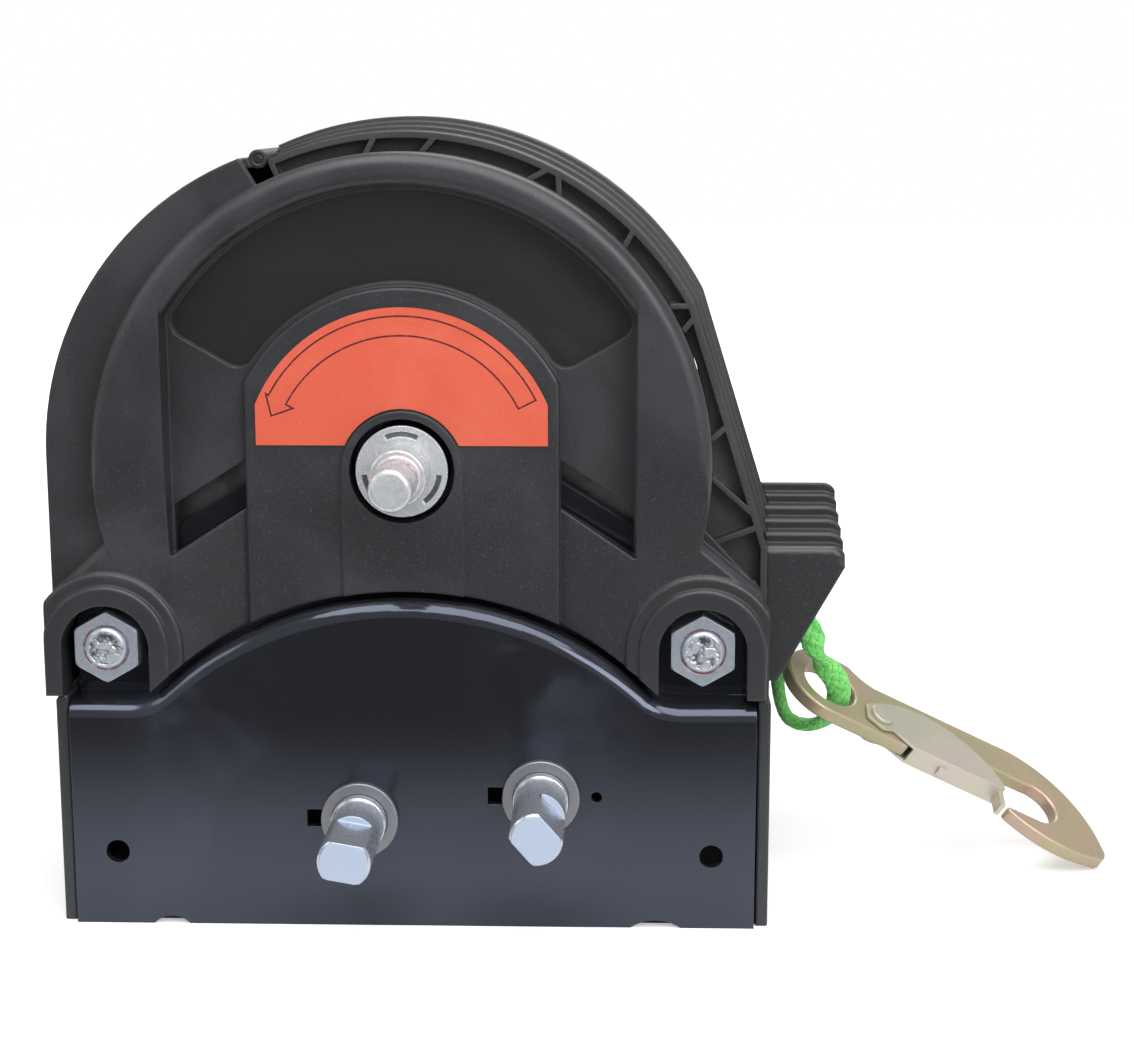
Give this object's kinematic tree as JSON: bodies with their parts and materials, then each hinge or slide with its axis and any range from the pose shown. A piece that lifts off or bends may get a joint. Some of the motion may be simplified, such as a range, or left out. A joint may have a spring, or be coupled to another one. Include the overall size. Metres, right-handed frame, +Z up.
{
  "type": "trailer winch",
  "caption": "Hand-cranked trailer winch with a hinged hood over the drum, geared drive shafts and a snap hook on a rope loop.",
  "frame": {"origin": "on the underside, below the drum axis, halfway between the front and rear plates", "axes": "+X to the right along the front plate, towards the rope snout; +Y from the front plate to the rear plate; +Z up from the base"},
  "size_m": [0.3196, 0.157, 0.2335],
  "materials": {
    "black_steel": "gloss black paint",
    "plastic": "fine speckled charcoal moulding",
    "label_print": "satin printed film",
    "zinc": "bright zinc",
    "gear_steel": "machined steel",
    "sintered": "grey sintered metal",
    "chromate": "yellow chromate",
    "braid": "braided fibre"
  },
  "bodies": {
    "frame": {"front_plate": "black_steel", "rear_plate": "black_steel", "front_cover": "plastic", "rear_cover": "plastic", "lower_casing": "plastic", "label": "label_print", "hinge_pin": "black_steel", "drum_bushing_front": "sintered", "drum_bushing_rear": "sintered", "hook_body": "chromate", "hook_rivet": "chromate", "rope": "braid", "left_bushing_front": "sintered", "left_bushing_rear": "sintered", "left_tie_bolt": "zinc", "left_nut": "zinc", "left_spacer": "gear_steel", "right_bushing_front": "sintered", "right_bushing_rear": "sintered", "right_tie_bolt": "zinc", "right_nut": "zinc", "right_spacer": "gear_steel"},
    "hood": {"hood_shell": "plastic", "snout": "plastic"},
    "drum": {"drum_gear": "gear_steel", "drum_flange": "gear_steel", "drum_core": "gear_steel", "rope_winding": "braid", "drum_shaft": "zinc", "retaining_washer": "zinc"},
    "left_drive": {"left_drive_shaft": "zinc", "left_pinion": "gear_steel"},
    "right_drive": {"right_drive_shaft": "zinc", "right_pinion": "gear_steel"},
    "latch": {"hook_latch": "chromate"}
  },
  "joints": [
    {"name": "hood_hinge", "type": "hinge", "parent": "frame", "child": "hood", "pos_m": [-0.04128, 0, 0.22158], "axis": [0, -1, 0], "range_deg": [0, 100]},
    {"name": "drum_spin", "type": "hinge", "parent": "frame", "child": "drum", "pos_m": [0, 0, 0.1345], "axis": [0, 1, 0], "continuous": true},
    {"name": "left_drive_spin", "type": "hinge", "parent": "frame", "child": "left_drive", "pos_m": [-0.0131, 0, 0.03284], "axis": [0, 1, 0], "continuous": true},
    {"name": "right_drive_spin", "type": "hinge", "parent": "frame", "child": "right_drive", "pos_m": [0.0396, 0, 0.03996], "axis": [0, 1, 0], "continuous": true},
    {"name": "latch_hinge", "type": "hinge", "parent": "frame", "child": "latch", "pos_m": [0.1419, -0.00365, 0.04679], "axis": [0.4916, -0.3425, 0.8007], "range_deg": [0, 10], "stiffness_Nm_per_rad": 0.02, "springref_deg": -20.05}
  ],
  "couplings": [
    {"joint": "left_drive_spin", "follows": "drum_spin", "ratio": -3.8571},
    {"joint": "right_drive_spin", "follows": "drum_spin", "ratio": -3.8571}
  ]
}
